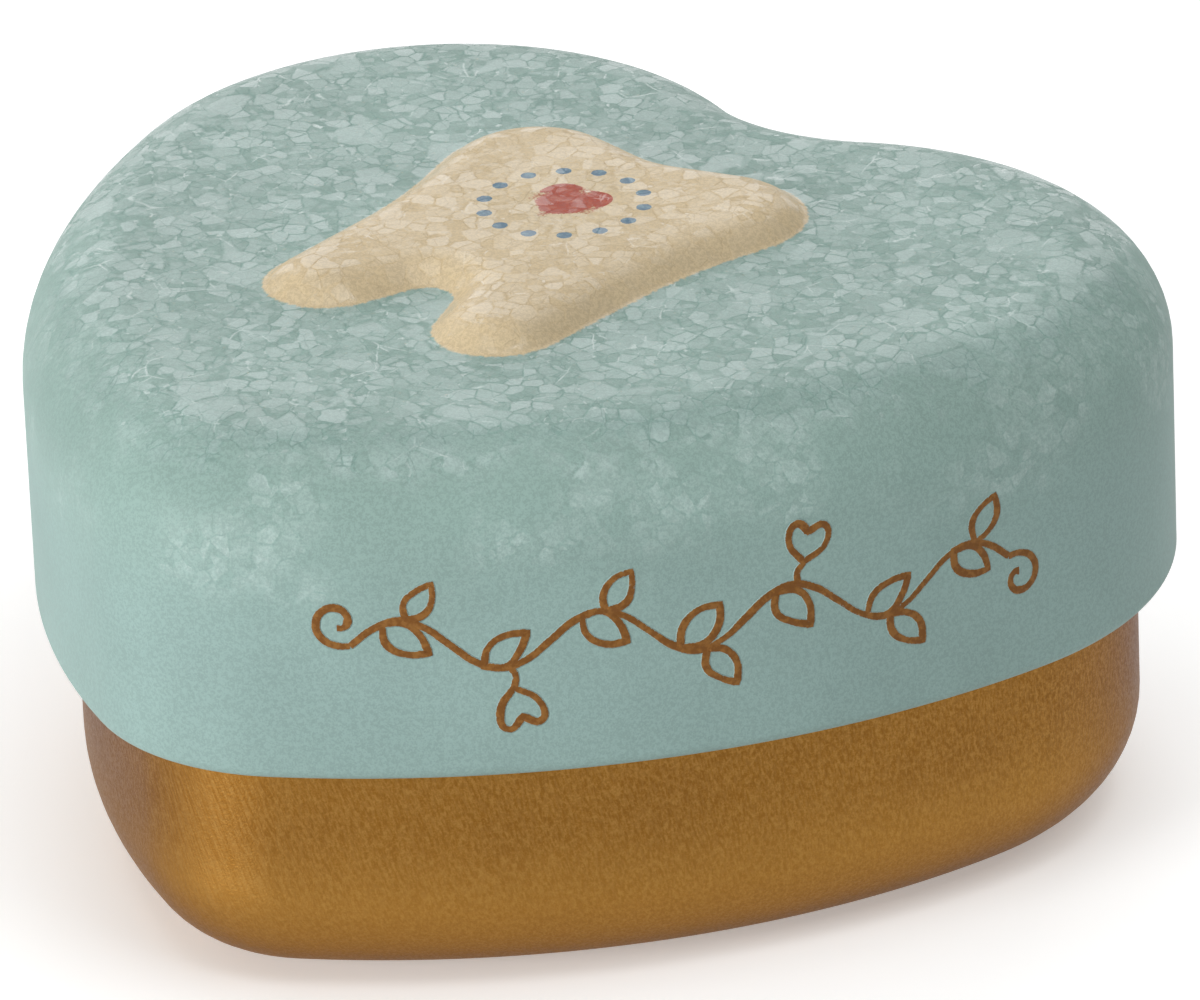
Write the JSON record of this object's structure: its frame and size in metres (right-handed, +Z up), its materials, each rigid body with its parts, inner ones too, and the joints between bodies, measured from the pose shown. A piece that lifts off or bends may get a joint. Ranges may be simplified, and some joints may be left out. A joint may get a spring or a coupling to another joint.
{
  "type": "baby tooth box",
  "caption": "Heart-shaped two-piece keepsake tin: rolled-rim base with a pressed floor and a deep slip-on lid embossed with a tooth.",
  "frame": {"origin": "middle of the tin seen from above, on the surface that it stands on", "axes": "+X to the right lobe, +Y from the heart's tip towards its lobes, +Z up, the way the lid lifts off"},
  "size_m": [0.06, 0.055, 0.031],
  "materials": {
    "gold_lacquer": "satin antique gold",
    "mint_paint": "satin, mottled"
  },
  "bodies": {
    "base": {"base": "gold_lacquer"},
    "lid": {"lid": "mint_paint"}
  },
  "joints": [
    {"name": "lid_lift", "type": "slide", "parent": "base", "child": "lid", "axis": [0, 0, 1], "range_m": [0, 0.04]}
  ]
}
